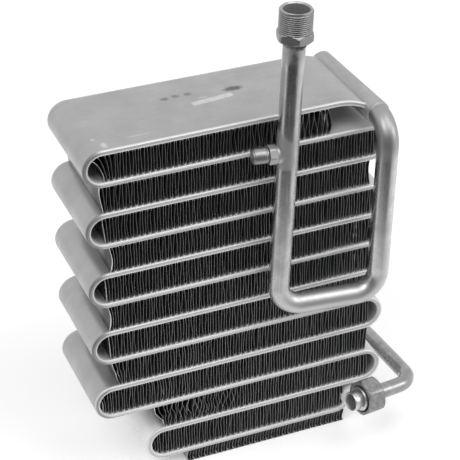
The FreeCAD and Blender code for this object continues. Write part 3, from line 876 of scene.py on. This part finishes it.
def braze_ring(name, centre, axis, radius, reach, height, rough, seed, metal=braze_metal,
               steps=96, overlap=0.0002):
    """A hollow fillet of braze round a pipe: it runs from (reach, 0) out to (0, height) along it.

    Its section is a quarter circle. Both of its sizes drift round the ring by lumpy values.
    """
    size = np.clip(1 + rough * lumps(steps, (1, 2, 3, 5, 8, 13), seed), 0.25, 1.9)
    turn = np.linspace(0, math.pi / 2, 7)[:, None]
    radii = radius + reach * size * (1 - np.sin(turn))
    heights = height * size * (1 - np.cos(turn))
    rows = [(radius - overlap, -overlap), (radii[0], heights[0] - overlap),
            *zip(radii, heights), (radius - overlap, heights[-1])]
    new_piece(name, turned(rows, centre, axis, steps=steps), metal, None, wrap_rows=True,
              crease=60)


def braze_line(name, start, stop, radius, seed, metal, rows=80):
    """A bead of braze along a seam: a thin rod whose radius drifts, closed to points."""
    start, stop = np.asarray(start, float), np.asarray(stop, float)
    size = np.clip(1 + 0.22 * lumps(rows, (2, 3, 5, 7, 11, 17), seed), 0.45, 1.6) * radius
    size[[0, -1]] = 0
    heights = np.linspace(0, np.linalg.norm(stop - start), rows)
    new_piece(name, turned(zip(size, heights), start, stop - start, steps=12), metal, None,
              crease=80)


def header_grid(profile, centre_x, centre_z, back_shift):
    """A header part along +Y from the front of the core; its back end stands a bit aside."""
    points = turned(profile, (core_x + centre_x, core_y, centre_z), (0, 1, 0))
    back = np.clip((points[..., 1] - core_y) / tube_depth, 0, 1.1)
    points[..., 0] -= back_shift * back
    points[..., 2] -= top_pass_sag * back * (1 if back_shift else 0)
    return points


front_end = -header_overhang
back_end = tube_depth + header_overhang
inner = header_radius - header_wall
shell = eased([
    (inner, front_end), (header_radius, front_end), (header_radius, back_end),
    (inner, back_end), (inner, front_end)], 0.0002, 2)
plug_back = eased([
    (0, back_end - plug_thickness), (inner - 0.00005, back_end - plug_thickness),
    (inner - 0.00005, back_end - 0.0006), (inner - 0.0006, back_end - 0.0001),
    (0, back_end - 0.0001)], 0.0002, 2)
plug_front = plug_back * (1, -1) + (0, back_end + front_end)
header_boxes = {name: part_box(name) for name in ("outlet_header", "inlet_header")}
for name, plugs, back_shift, metal, end in (
        ("outlet_header", {"outlet_header_plug": plug_back}, header_back_shift,
         header_metal, 0),
        ("inlet_header", {"inlet_header_plug": plug_front,
                          "inlet_header_rear_plug": plug_back}, 0.0, flux_and_painted_light_metal, -1)):
    low, high = header_boxes[name]
    centre = np.array([(low.x + high.x) / 2 - core_x, (low.z + high.z) / 2])
    new_piece(name + "_tube", header_grid(shell, *centre, back_shift), metal, "tube", name)
    for plug_name, profile in plugs.items():
        new_piece(plug_name + "_disc", header_grid(profile, *centre, back_shift), metal, "tube",
                  plug_name)
    # Beads where the flat tube's two faces enter the slot.
    inwards = -route_heading[0] if end == 0 else route_heading[-1]
    for face, offset in (("upper", face_offset), ("lower", -face_offset)):
        near = route[end] + np.array([-inwards[1], inwards[0]]) * offset - centre
        slope = near @ inwards
        depth_in = -slope - math.sqrt(max(slope ** 2 - near @ near + bead_seat ** 2, 0))
        seat = near + inwards * depth_in + centre + (core_x, 0)
        sag = top_pass_sag if back_shift else 0.0
        braze_line(name + "_bead_" + face, (seat[0], core_y + 0.0002, seat[1]),
                   (seat[0] - back_shift * 0.5, core_y + tube_depth - 0.0002, seat[1] - sag),
                   bead_radius, 7 + len(name) + end, metal)


# Outlet pipe.
# A drawn aluminium suction pipe, 16 mm across, bent in three places: forward out of the
# upper header, down, across to the left, and up to its fitting. The torch left it dull
# below the fitting and round the port.

outlet_radius = 0.008
outlet_wall = 0.00125
pipe_bend = 0.0185
down_front = 0.0235
down_lean = math.radians(1.86)
loop_drop = 0.142
loop_width = 0.077
riser_step_back = 0.0092
riser_lean = math.radians(2.72)
riser_height = 0.2436
fitting_height = 0.0259
port_height = 0.131


def pipe_grid(route, bend, radius, wall, steps=48, bend_steps=18):
    """A bent pipe's skin: circles carried along straight runs and round bends.

    The circle's two axes turn with each bend about the bend's own axis. The inside is the
    same path with a smaller radius, run backwards, so that the ends close.
    """
    route = [np.asarray(p, float) for p in route]
    heading, first, second = frame_about(route[1] - route[0])
    parts = [(route[0][None], first[None], second[None])]
    for before, corner, after in zip(route[:-2], route[1:-1], route[2:]):
        onward = after - corner
        onward /= np.linalg.norm(onward)
        turn = math.acos(float(np.clip(heading @ onward, -1, 1)))
        hinge = np.cross(heading, onward)
        hinge /= np.linalg.norm(hinge)
        start = corner - heading * bend * math.tan(turn / 2)
        inward = np.cross(hinge, heading)
        angle = np.linspace(0, turn, bend_steps)[:, None]
        centres = start + bend * (np.sin(angle) * heading + (1 - np.cos(angle)) * inward)
        parts.append((centres, *(
            np.cos(angle) * vector + np.sin(angle) * np.cross(hinge, vector)
            + (1 - np.cos(angle)) * hinge * (hinge @ vector)
            for vector in (parts[-1][1][-1], parts[-1][2][-1]))))
        heading = onward
    parts.append((route[-1][None], parts[-1][1][-1:], parts[-1][2][-1:]))
    centres, firsts, seconds = (np.concatenate(part) for part in zip(*parts))
    angle = angles(steps)
    ring = (np.cos(angle)[None, :, None] * firsts[:, None]
            + np.sin(angle)[None, :, None] * seconds[:, None])
    return np.concatenate([centres[:, None] + radius * ring,
                           (centres[:, None] + (radius - wall) * ring)[::-1]])


low, high = header_boxes["outlet_header"]
header_x = (low.x + high.x) / 2
header_z = (low.z + high.z) / 2
down_top = np.array([header_x, core_y - down_front, header_z])
down_foot = down_top + np.array([-loop_drop * math.tan(down_lean), 0, -loop_drop])
riser_foot = down_foot + np.array([-loop_width, riser_step_back, 0])
riser_axis = np.array([math.tan(riser_lean), 0, 1])
riser_axis /= np.linalg.norm(riser_axis)
riser_top = riser_foot + riser_axis * riser_height
fitting_base = riser_top - riser_axis * fitting_height
outlet_route = [
    np.array([header_x, core_y + 0.0032, header_z]), down_top, down_foot, riser_foot,
    fitting_base + riser_axis * 0.00895]
port_centre = riser_foot + riser_axis * port_height
loop_line = riser_foot - down_foot
port_axis = loop_line - riser_axis * (loop_line @ riser_axis)
port_axis /= np.linalg.norm(port_axis)

torched = bare_metal(
    "torched_aluminium", 0.60, 0.44, 0.29, 14, 75, (0.25, 30.0, 1.0), cloud_share=0.6,
    rough_swing=0.18, by_run=True, dents=0.00016)
tree = torched.node_tree
# Bending has dulled the bends, the run below and the pipe where it leaves the header.
dull_bends = side_mask(tree, down_foot + (0, 0, 0.012), (0, 0, -1), 0.02)
lay_over(tree, dull_bends, 0.53, 0.43, 0.85)
dull_entry = side_mask(tree, down_top - (0, 0, 0.022), (0, 0, 1), 0.02)
right_side = side_mask(tree, (header_x - 0.03, 0, 0), (1, 0, 0), 0.01)
lay_over(tree, product(tree, dull_entry, right_side), 0.33, 0.42, 0.85)
# The torch has dulled the pipe below the fitting and on the port's side.
dull_top = side_mask(tree, fitting_base - riser_axis * 0.0115, riser_axis, 0.012, 0.004, 160)
lay_over(tree, dull_top, 0.46, 0.62, share=0.8)
dull_port = product(
    tree, side_mask(tree, port_centre + (0, 0, 0.015), (-0.833, 0.341, -1), 0.006, 0.001),
    side_mask(tree, port_centre - (0, 0, 0.0090), (0, 0, 1), 0.004, 0.0008),
    side_mask(tree, port_centre + np.array([0.9256, -0.3785, 0]) * 0.005,
              (-0.9256, 0.3785, 0), 0.003, 0.001))
lay_over(tree, dull_port, 0.44, 0.62, share=0.9)
# Soot and rubbed streaks on the front of the riser: height above the port, side and size.
facing = np.array([-0.383, -0.924, 0.0])
aside = np.array([0.924, -0.383, 0.0])
for height, left, wide, tall, level, share in (
        (0.0790, 0.1, 0.0030, 0.0060, 0.06, 0.5), (0.0640, -0.2, 0.0022, 0.0090, 0.06, 0.4),
        (0.0520, -0.55, 0.0008, 0.0100, 0.75, 0.5), (0.0600, 0.35, 0.0006, 0.0080, 0.75, 0.35),
        (0.0300, 0.2, 0.0025, 0.0080, 0.06, 0.4), (0.0380, -0.1, 0.0006, 0.0110, 0.75, 0.4),
        (-0.0300, 0.15, 0.0007, 0.0130, 0.75, 0.4), (-0.0520, -0.5, 0.0020, 0.0110, 0.80, 0.4),
        (-0.0450, 0.5, 0.0016, 0.0160, 0.10, 0.35), (-0.0750, 0.1, 0.0026, 0.0100, 0.75, 0.35)):
    out = facing * math.sqrt(1 - left * left) + aside * left
    spot = spot_mask(tree, port_centre + riser_axis * height + out * outlet_radius,
                     (wide, wide, tall), 0.7, 330, 0.7)
    lay_over(tree, spot, level, 0.45, share=share)
new_piece("suction_pipe", pipe_grid(outlet_route, pipe_bend, outlet_radius, outlet_wall),
          torched, "pipe", "outlet_pipe", wrap_rows=True)
braze_ring("outlet_header_braze", (header_x, core_y - header_overhang, header_z), (0, -1, 0),
           0.0080, 0.00085, 0.0022, 0.35, 5, header_metal)


# Outlet fitting.
# A male union turned from hexagonal aluminium bar and brazed on the pipe: a neck, a
# hexagon, and a threaded stub with a wide seat bored into its end.

thread_radius = 0.012
thread_pitch = 0.0015
thread_depth = 0.0009
thread_rows = 140
hex_flats = 0.024
hex_corner = 0.0272
neck_radius = 0.0094
neck_top = 0.0024
hex_top = 0.0094
socket_radius = 0.00805
socket_depth = 0.009
seat_radius = 0.0092
seat_depth = 0.0115
fitting_turn = math.radians(47)


def hexagon_radius(flats, corner, steps):
    """Radius of a hexagon at each angle, cut off at its corner circle."""
    part = np.mod(angles(steps) + math.pi / 6, math.pi / 3) - math.pi / 6
    return np.minimum(flats / 2 / np.cos(math.pi / 6 - np.abs(part)), corner / 2)


def bevel(hexagon, first, last, steps=6):
    """Rows of a hexagon cut by a cone, whose radius and height run evenly to the last ones."""
    return [(np.minimum(hexagon, radius), height)
            for radius, height in np.linspace(first, last, steps)]


def ridge(height, angle, pitch, depth):
    """Depth below the crest of a screw thread: a rounded V repeated once a pitch."""
    phase = height / pitch - angle / (2 * math.pi)
    return depth * (0.5 - 0.5 * np.cos(2 * math.pi * phase)) ** 0.8


def ring_mask(tree, centre, axis, radius, soft, low, high):
    """1 nearer to an axis than a radius, between two heights along it, and 0 elsewhere.

    The distance is the length of the cross product of the place with the axis.
    """
    turn = maths(tree, "CROSS_PRODUCT", shifted(tree, centre)[1], axis, kind="VectorMath")
    distance = maths(tree, "LENGTH", turn, kind="VectorMath")
    return product(tree, ramp(tree, distance, radius + soft / 2, radius - soft / 2),
                   side_mask(tree, centre + axis * low, axis, 0.0003),
                   side_mask(tree, centre + axis * high, -axis, 0.0003))


def fitting_grid(steps=120):
    """Rows of the fitting from its socket, up the outside and down the bore again."""
    hexagon = hexagon_radius(hex_flats, hex_corner, steps)
    way = outlet_radius - outlet_wall
    rows = [(socket_radius, 0.0), (neck_radius - 0.0004, 0.0), (neck_radius, 0.0005),
            (neck_radius, neck_top)]
    slope = (hex_corner - hex_flats) / 2
    rows += bevel(hexagon, (hex_flats / 2, neck_top), (hex_corner / 2, neck_top + slope))
    rows += bevel(hexagon, (hex_corner / 2, hex_top - slope), (hex_flats / 2, hex_top))
    rows.append((thread_radius - 0.0006, hex_top))
    for height in np.linspace(hex_top + 0.0003, fitting_height - 0.0011, thread_rows):
        fade = min(1.0, (height - hex_top) / 0.0012)
        cut = ridge(height, angles(steps), thread_pitch, thread_depth) * fade
        rows.append((thread_radius - cut, height))
    rows += [(thread_radius - 0.0011, fitting_height - 0.0001),
             (thread_radius - 0.0014, fitting_height), (seat_radius + 0.0009, fitting_height),
             (seat_radius, fitting_height - 0.0009), (seat_radius, fitting_height - seat_depth),
             (way, fitting_height - seat_depth), (way, socket_depth),
             (socket_radius, socket_depth)]
    return turned(rows, fitting_base, riser_axis, fitting_turn, steps)


turned_aluminium = bare_metal(
    "turned_aluminium", 0.43, 0.31, 0.37, 500, 160, (1.0, 1.0, 0.1), metallic=0.9)
tree = turned_aluminium.node_tree
# Darker thread grooves, the duller bore, and the darker hexagon.
grooves = ring_mask(tree, fitting_base, riser_axis, thread_radius - 0.00035, 0.0006,
                    hex_top + 0.0002, fitting_height - 0.0012)
lay_over(tree, grooves, 0.08, 0.4, share=0.55)
bored = ring_mask(tree, fitting_base, riser_axis, 0.0094, 0.0002, 0.008, fitting_height - 0.0004)
lay_over(tree, bored, 0.34, 0.4, 0.6)
hexagon_part = side_mask(tree, fitting_base + riser_axis * 0.0096, -riser_axis, 0.0005)
lay_over(tree, hexagon_part, 0.22, share=0.7)
new_piece("threaded_union", fitting_grid(), turned_aluminium, "fitting", "outlet_fitting",
          wrap_rows=True, crease=28, smooth_rows=(17, 16 + thread_rows))
# The braze fillet under the hexagon is near black: dark braze, with painted shadow under the
# hexagon.
braze_in_painted_shade = bare_metal("braze_in_painted_shade", 0.20, 0.06, 0.5, 400, 500, bump=0.00006, metallic=0.7)
braze_ring("fitting_braze", fitting_base, -riser_axis, 0.0080, 0.0011, 0.0016, 0.3, 9,
           braze_in_painted_shade)


# Service port and cap.
# A charging port on the riser: a neck shaped to the pipe and a small hexagon, brazed on as
# one piece, with a brass valve inside its stem and a round plated screw cap over it.

port_neck = 0.0062
port_flats = 0.0130
port_corner = 0.0146
port_hex_low = 0.0085
port_hex_high = 0.0141
port_bevel = 0.0006
port_stem = 0.0043
port_bore = 0.0026
port_tip = 0.0223
pipe_clearance = 0.00805


def port_grid(steps=96):
    """Rows of the port from the foot of its bore, out over neck, hexagon and stem, and back.

    The foot follows the pipe: its height is the pipe's half chord at that distance across.
    The neck rises out of the foot in a hollow fillet.
    """
    _, first, second = frame_about(port_axis)
    across = np.cross(riser_axis, port_axis)
    angle = angles(steps)
    sweep = np.cos(angle) * (first @ across) + np.sin(angle) * (second @ across)

    def foot(radius, lift):
        """Height of the pipe's surface under a circle of this radius, plus a lift."""
        return np.sqrt(np.maximum(pipe_clearance ** 2 - (radius * sweep) ** 2, 0)) + lift

    hexagon = hexagon_radius(port_flats, port_corner, steps)
    rows = [(port_bore, foot(port_bore, 0))]
    for turn in np.linspace(0, 1, 7) * math.pi / 2:
        radius = port_neck + 0.0011 * (1 - math.sin(turn))
        rows.append((radius, foot(radius, 0.0014 * (1 - math.cos(turn)))))
    top = port_hex_low - 0.0003
    rows.append((port_neck, np.maximum(foot(port_neck, 0.0016), top - 0.001)))
    rows.append((port_neck, np.maximum(foot(port_neck, 0.0017), top)))
    low, high = port_hex_low + port_bevel, port_hex_high - port_bevel
    rows += bevel(hexagon, (0.0066, port_hex_low), (0.0066 + port_bevel, low), 5)
    rows += bevel(hexagon, (port_corner / 2, high),
                  (port_corner / 2 - port_bevel, port_hex_high), 5)
    rows += [(port_stem + 0.0003, port_hex_high), (port_stem, port_hex_high + 0.0003),
             (port_stem, port_tip - 0.0004), (port_stem - 0.0004, port_tip),
             (port_bore + 0.0003, port_tip), (port_bore, port_tip - 0.0003)]
    return turned(rows, port_centre, port_axis, steps=steps)


port_body_metal = bare_metal(
    "port_body_metal", 0.50, 0.38, 0.46, 500, 300, bump=0.00003, metallic=0.8)
new_piece("charging_port", port_grid(), port_body_metal, "fitting", "service_port",
          wrap_rows=True, crease=32)

plated_cap = bare_metal("plated_cap", 0.36, 0.27, 0.40, 300, 190, metallic=0.9)
cap_profile = eased([
    (0.0044, 0.0145), (0.0053, 0.0145), (0.0057, 0.0149), (0.0057, 0.0160), (0.0060, 0.0164),
    (0.0060, 0.0246), (0.0056, 0.0252), (0.0053, 0.0253), (0.0051, 0.0261), (0.0034, 0.0261),
    (0.0030, 0.0257), (0, 0.0257)])
cap_rows = [*cap_profile, (0, 0.0229), (0.0044, 0.0229)]
new_piece("valve_cap", turned(cap_rows, port_centre, port_axis), plated_cap, "cap",
          "service_cap", crease=40)

valve_brass = bare_metal("valve_brass", 0.55, 0.42, 0.3, 500, 200)
nodes["service_valve_core"].data.materials.clear()
nodes["service_valve_core"].data.materials.append(valve_brass)


# Inlet pipe.
# A 12 mm drawn aluminium liquid pipe. It leaves the back of the lower header's side, runs
# forward beside the core, and turns left below it, to a turned sleeve with a bead.

inlet_radius = 0.006
inlet_wall = 0.0011
run_gap = 0.0105
entry_depth = 0.072
rear_rise = 0.0114
front_rise = 0.0221
front_reach = 0.025
end_length = 0.0611
end_forward = math.radians(11.5)
end_rise = math.radians(5.0)
sleeve_length = 0.0202

low, high = header_boxes["inlet_header"]
inlet_header_z = (low.z + high.z) / 2
run_x = core_x + bend_span + bend_radius + tube_thickness / 2 + run_gap + inlet_radius
inlet_rear = np.array([run_x, core_y + entry_depth, inlet_header_z + rear_rise])
inlet_front = np.array([run_x, core_y - front_reach, inlet_header_z + front_rise])
entry = np.array([(low.x + high.x) / 2, core_y + entry_depth, inlet_header_z])
entry_way = (inlet_rear - entry) / np.linalg.norm(inlet_rear - entry)
end_way = np.array([-math.cos(end_forward) * math.cos(end_rise),
                    -math.sin(end_forward) * math.cos(end_rise), math.sin(end_rise)])
pilot_mouth = inlet_front + end_way * end_length
sleeve_base = pilot_mouth - end_way * sleeve_length
handled_aluminium = bare_metal(
    "handled_aluminium", 0.42, 0.24, 0.30, 18, 110, (0.25, 30.0, 1.0), cloud_share=0.6,
    rough_swing=0.18, by_run=True, dents=0.00014)
inlet_route = [entry + entry_way * 0.0081, inlet_rear, inlet_front,
               sleeve_base + end_way * 0.00545]
new_piece("liquid_pipe", pipe_grid(inlet_route, pipe_bend, inlet_radius, inlet_wall, 40),
          handled_aluminium, "pipe", "inlet_pipe", wrap_rows=True)

sleeve_profile = eased([
    (0.00605, 0), (0.0073, 0), (0.0073, 0.0100), (0.0090, 0.0100), (0.0095, 0.0105),
    (0.0095, 0.0119), (0.0090, 0.0124), (0.0064, 0.0124), (0.0064, 0.0143),
    (0.0075, 0.0143), (0.0075, sleeve_length - 0.0003), (0.0072, sleeve_length),
    (0.0067, sleeve_length), (0.0059, sleeve_length - 0.0012), (0.0059, 0.0088),
    (0.0049, 0.0088), (0.0049, 0.0055), (0.00605, 0.0055), (0.00605, 0)], 0.0002, 2)
pilot_metal = bare_metal("pilot_metal", 0.66, 0.50, 0.38, 500, 160, bump=0.000008)
# Painted shade inside the sleeve's bore.
sleeve_bore_shade = ring_mask(pilot_metal.node_tree, sleeve_base, end_way, 0.00655, 0.0002, 0.0,
                        sleeve_length + 0.001)
lay_over(pilot_metal.node_tree, sleeve_bore_shade, 0.24, 0.5, 0.4)
new_piece("pilot_sleeve", turned(sleeve_profile, sleeve_base, end_way), pilot_metal, "fitting",
          "inlet_sleeve", crease=40)
braze_ring("sleeve_braze", sleeve_base, -end_way, inlet_radius, 0.0010, 0.0012, 0.3, 21)
braze_ring("inlet_entry_braze", entry + entry_way * 0.0088, entry_way, inlet_radius, 0.0016,
           0.0018, 0.3, 33)


# Union nut.
# A plated steel nut, loose on the inlet pipe behind the sleeve's bead. Its hexagon has
# well rounded corners, and its mouth is threaded inside.

nut_flats = 0.026
nut_corner = 0.029
nut_length = 0.0148
nut_set_back = 0.0093
nut_turn = math.radians(45)
nut_hole = 0.0076
nut_bore = 0.0102
nut_mouth = 0.0111
nut_floor = 0.003
nut_ease = 0.0022
nut_thread_depth = 0.0008
nut_base = pilot_mouth - end_way * (nut_set_back + nut_length)


def nut_grid(steps=120):
    """Rows of the nut from its pipe hole, out over the hexagon and back down the thread."""
    hexagon = hexagon_radius(nut_flats, nut_corner, steps)
    rows = [(nut_hole, 0.0)]
    for foot, way, first, last in ((0.0, 1, 0, 1), (nut_length, -1, 1, 0)):
        for share in np.linspace(first, last, 8):
            limit = nut_corner / 2 - nut_ease * (1 - math.sin(share * math.pi / 2))
            rows.append((np.minimum(hexagon, limit),
                         foot + way * nut_ease * (1 - math.cos(share * math.pi / 2))))
    rows.append((nut_mouth, nut_length))
    for height in np.linspace(nut_length - 0.0006, nut_floor + 0.0002, 90):
        rows.append((nut_bore + ridge(height, angles(steps), thread_pitch, nut_thread_depth),
                     height))
    rows += [(nut_bore, nut_floor), (nut_hole, nut_floor)]
    return turned(rows, nut_base, end_way, nut_turn, steps)


nut_steel = bare_metal(
    "nut_steel", 0.37, 0.19, 0.46, 300, 230, bump=0.00008, metallic=0.85, dents=0.00008)
new_piece("union_nut", nut_grid(), nut_steel, "nut", "inlet_nut", body="nut", wrap_rows=True,
          crease=28, smooth_rows=(18, 107))


# Every solid that still shows has a finish of its own.
for node in nodes.values():
    if not node.data.materials:
        node.data.materials.append(extruded)
